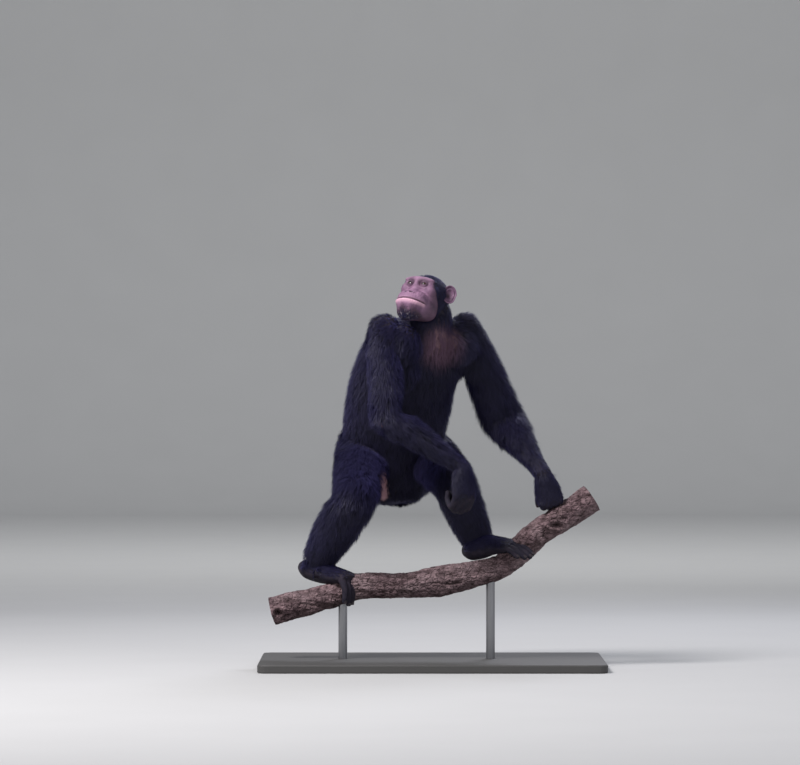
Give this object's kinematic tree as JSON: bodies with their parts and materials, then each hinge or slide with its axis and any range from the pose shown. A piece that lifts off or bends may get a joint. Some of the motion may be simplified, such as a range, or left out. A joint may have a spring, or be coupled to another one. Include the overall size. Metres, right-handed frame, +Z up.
{
  "type": "chimpanzee model",
  "caption": "Life-size chimpanzee standing on a cut branch over a flat base, one hand on the branch, face turned up.",
  "frame": {"origin": "middle of the underside of the stand's base, on the floor", "axes": "+Z up, +X along the perch to the viewer's right, +Y away from the viewer; the animal's chest faces the viewer"},
  "size_m": [1.01, 0.66, 1.1496],
  "materials": {
    "coat": "long black hair with a soft blue sheen",
    "face": "bare brownish pink skin with fine wrinkles",
    "skin": "dark grey wrinkled skin with sparse hair",
    "eye": "wet, glossy dark brown",
    "bark": "rough greyish pink bark",
    "base": "matt dark grey",
    "rod": "brushed"
  },
  "bodies": {
    "root": {"torso": "coat", "neck": "coat", "head": "face", "ear_left": "face", "ear_right": "face", "eye_left": "eye", "eye_right": "eye", "upper_arm_left": "coat", "upper_arm_right": "coat", "forearm_left": "coat", "forearm_right": "coat", "hand_left": "skin", "hand_right": "skin", "thigh_left": "coat", "thigh_right": "coat", "shank_left": "coat", "shank_right": "coat", "foot_left": "skin", "foot_right": "skin", "perch": "bark", "stand_base": "base", "stand_rod_1": "rod", "stand_rod_2": "rod"}
  },
  "joints": []
}
